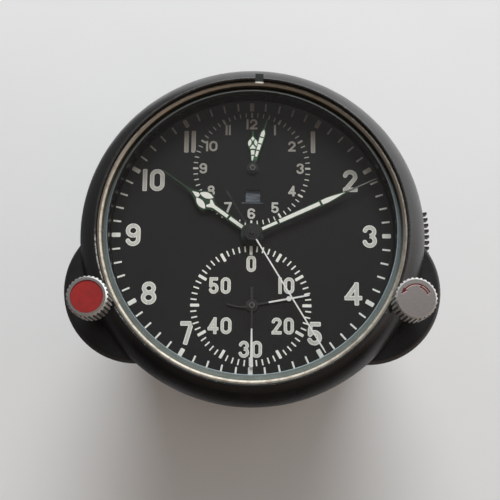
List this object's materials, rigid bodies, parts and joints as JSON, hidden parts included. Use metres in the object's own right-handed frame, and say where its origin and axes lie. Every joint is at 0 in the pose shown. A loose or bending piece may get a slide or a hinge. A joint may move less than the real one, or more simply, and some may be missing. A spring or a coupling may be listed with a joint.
{
  "type": "aircraft clock",
  "caption": "Round wound aircraft panel clock with a black bezel, flight timer and stopwatch sub-dials, two ridged knobs and a rear heater inlet.",
  "frame": {"origin": "on the clock's axis in the plane of the panel seat, behind the front flange", "axes": "+Z out of the dial, +Y towards 12 o'clock, +X towards 3 o'clock"},
  "size_m": [0.0932, 0.0852, 0.1079],
  "materials": {
    "black_paint": "satin black paint, rubbed bright on the edges",
    "glass": "clear flat glass with a ground bevel",
    "rubber": "matt",
    "ring_metal": "worn plated ring, warm silver",
    "dial_black": "matt charcoal paint",
    "brass": "turned and brushed",
    "steel": "turned",
    "blued_steel": "blued",
    "hand_green": "dark green-black paint with pale lume",
    "hand_white": "off-white paint",
    "state_blue": "blue-grey paint",
    "heater": "woven heater sleeve",
    "insulator": "moulded brown insulator",
    "contact": "bright contact pins",
    "knob_metal": "dark anodised with bright rubbed edges",
    "red_paint": "matt dull red",
    "lock_metal": "dark browned metal"
  },
  "bodies": {
    "case": {"case_body": "black_paint", "bezel": "black_paint", "bezel_grub_screws": "steel", "glass": "glass", "glass_gasket": "rubber", "glass_ring": "ring_metal", "dial": "dial_black", "front_plate": "brass", "plate_pillars": "steel", "pillar_nuts": "steel", "rear_plate": "brass", "movement_screws": "blued_steel", "escape_cock": "brass", "balance_cock": "brass", "cock_screws": "blued_steel", "stem_bushes": "steel", "left_spring": "steel", "right_spring": "steel", "heater_sleeve": "heater", "thermostat": "steel", "rear_gasket": "rubber", "rear_cover": "black_paint", "rear_cover_screws": "steel", "connector_insert": "insulator", "connector_pins": "contact"},
    "lock": {"lock_slide": "lock_metal"},
    "sweep": {"sweep_arbor": "steel", "second_hand": "hand_white"},
    "minutes": {"centre_arbor": "steel", "cannon_pinion": "steel", "minute_hand": "hand_green"},
    "hours": {"hour_wheel": "brass", "hour_hand": "hand_green"},
    "minute_wheel": {"minute_wheel": "brass"},
    "third_wheel": {"third_wheel": "brass"},
    "barrel": {"barrel": "brass", "mainspring": "blued_steel"},
    "barrel_arbor": {"barrel_arbor": "steel"},
    "escape_wheel": {"escape_wheel": "steel"},
    "pallet_fork": {"pallet_fork": "steel"},
    "balance": {"balance_wheel": "brass", "hairspring": "blued_steel"},
    "flight_minutes": {"flight_arbor": "steel", "flight_minute_hand": "hand_green"},
    "flight_hours": {"flight_hour_wheel": "brass", "flight_hour_hand": "hand_green"},
    "state_disc": {"state_disc": "state_blue"},
    "stop_seconds": {"stop_second_arbor": "steel", "stop_second_hand": "hand_white"},
    "stop_minutes": {"stop_minute_wheel": "brass", "stop_minute_hand": "hand_white"},
    "winding_pinion": {"winding_pinion": "steel"},
    "winding_wheel": {"winding_wheel": "brass"},
    "left_slider": {"left_washer": "steel"},
    "left_knob": {"left_knob": "knob_metal", "left_disc": "red_paint", "left_stem": "steel"},
    "right_slider": {"right_washer": "steel"},
    "right_knob": {"right_knob": "knob_metal", "right_stem": "steel"}
  },
  "joints": [
    {"name": "second_turn", "type": "hinge", "parent": "case", "child": "sweep", "pos_m": [0, 0, 0], "axis": [0, 0, 1], "continuous": true},
    {"name": "minute_turn", "type": "hinge", "parent": "case", "child": "minutes", "pos_m": [0, 0, 0], "axis": [0, 0, 1], "continuous": true},
    {"name": "hour_turn", "type": "hinge", "parent": "case", "child": "hours", "pos_m": [0, 0, 0], "axis": [0, 0, 1], "continuous": true},
    {"name": "minute_wheel_turn", "type": "hinge", "parent": "case", "child": "minute_wheel", "pos_m": [0.0096, 0, 0], "axis": [0, 0, 1], "continuous": true},
    {"name": "third_wheel_turn", "type": "hinge", "parent": "case", "child": "third_wheel", "pos_m": [0.01184, -0.00431, 0], "axis": [0, 0, 1], "continuous": true},
    {"name": "barrel_turn", "type": "hinge", "parent": "case", "child": "barrel", "pos_m": [-0.01737, 0.00306, 0], "axis": [0, 0, 1], "continuous": true},
    {"name": "escape_turn", "type": "hinge", "parent": "case", "child": "escape_wheel", "pos_m": [-0.00488, -0.01047, 0], "axis": [0, 0, 1], "continuous": true},
    {"name": "pallet_rock", "type": "hinge", "parent": "case", "child": "pallet_fork", "pos_m": [-0.01043, -0.01249, 0], "axis": [0, 0, 1], "range_deg": [-5, 5]},
    {"name": "balance_swing", "type": "hinge", "parent": "case", "child": "balance", "pos_m": [-0.01578, -0.01444, 0], "axis": [0, 0, 1], "range_deg": [-220, 220], "stiffness_Nm_per_rad": 0.000014},
    {"name": "flight_minute_turn", "type": "hinge", "parent": "case", "child": "flight_minutes", "pos_m": [0, 0.0175, 0], "axis": [0, 0, 1], "continuous": true},
    {"name": "flight_hour_turn", "type": "hinge", "parent": "case", "child": "flight_hours", "pos_m": [0, 0.0175, 0], "axis": [0, 0, 1], "continuous": true},
    {"name": "state_turn", "type": "hinge", "parent": "case", "child": "state_disc", "pos_m": [0.006, 0.0103, 0], "axis": [0, 0, 1], "continuous": true},
    {"name": "stop_second_turn", "type": "hinge", "parent": "case", "child": "stop_seconds", "pos_m": [0, -0.0177, 0], "axis": [0, 0, 1], "continuous": true},
    {"name": "stop_minute_turn", "type": "hinge", "parent": "case", "child": "stop_minutes", "pos_m": [0, -0.0177, 0], "axis": [0, 0, 1], "continuous": true},
    {"name": "left_press", "type": "slide", "parent": "case", "child": "left_slider", "axis": [0, 0, 1], "range_m": [-0.0016, 0.003], "stiffness_N_per_m": 1500, "deforming": ["left_spring"]},
    {"name": "left_turn", "type": "hinge", "parent": "left_slider", "child": "left_knob", "pos_m": [-0.03745, -0.01835, 0], "axis": [0, 0, 1], "continuous": true},
    {"name": "winding_pinion_turn", "type": "hinge", "parent": "case", "child": "winding_pinion", "pos_m": [-0.03745, -0.01835, 0], "axis": [0, 0, 1], "continuous": true},
    {"name": "winding_wheel_turn", "type": "hinge", "parent": "case", "child": "winding_wheel", "pos_m": [-0.02931, -0.00967, 0], "axis": [0, 0, 1], "continuous": true},
    {"name": "barrel_arbor_turn", "type": "hinge", "parent": "case", "child": "barrel_arbor", "pos_m": [-0.01737, 0.00306, 0], "axis": [0, 0, 1], "continuous": true},
    {"name": "right_press", "type": "slide", "parent": "case", "child": "right_slider", "axis": [0, 0, 1], "range_m": [-0.0016, 0], "stiffness_N_per_m": 1500, "deforming": ["right_spring"]},
    {"name": "right_turn", "type": "hinge", "parent": "right_slider", "child": "right_knob", "pos_m": [0.03745, -0.01835, 0], "axis": [0, 0, 1], "range_deg": [0, 45]},
    {"name": "lock_turn", "type": "hinge", "parent": "case", "child": "lock", "pos_m": [0, 0, 0], "axis": [0, 0, 1], "range_deg": [0, 18]}
  ],
  "couplings": [
    {"joint": "minute_turn", "follows": "second_turn", "ratio": 0.016667},
    {"joint": "hour_turn", "follows": "second_turn", "ratio": 0.0013889},
    {"joint": "minute_wheel_turn", "follows": "second_turn", "ratio": -0.0055556},
    {"joint": "third_wheel_turn", "follows": "second_turn", "ratio": -0.13333},
    {"joint": "barrel_turn", "follows": "second_turn", "ratio": -0.0027778},
    {"joint": "escape_turn", "follows": "second_turn", "ratio": -10},
    {"joint": "flight_hour_turn", "follows": "flight_minute_turn", "ratio": 0.083333},
    {"joint": "stop_minute_turn", "follows": "stop_second_turn", "ratio": 0.016667},
    {"joint": "winding_pinion_turn", "follows": "left_turn", "ratio": 1},
    {"joint": "winding_wheel_turn", "follows": "left_turn", "ratio": -0.36364},
    {"joint": "barrel_arbor_turn", "follows": "left_turn", "ratio": 0.36364}
  ]
}
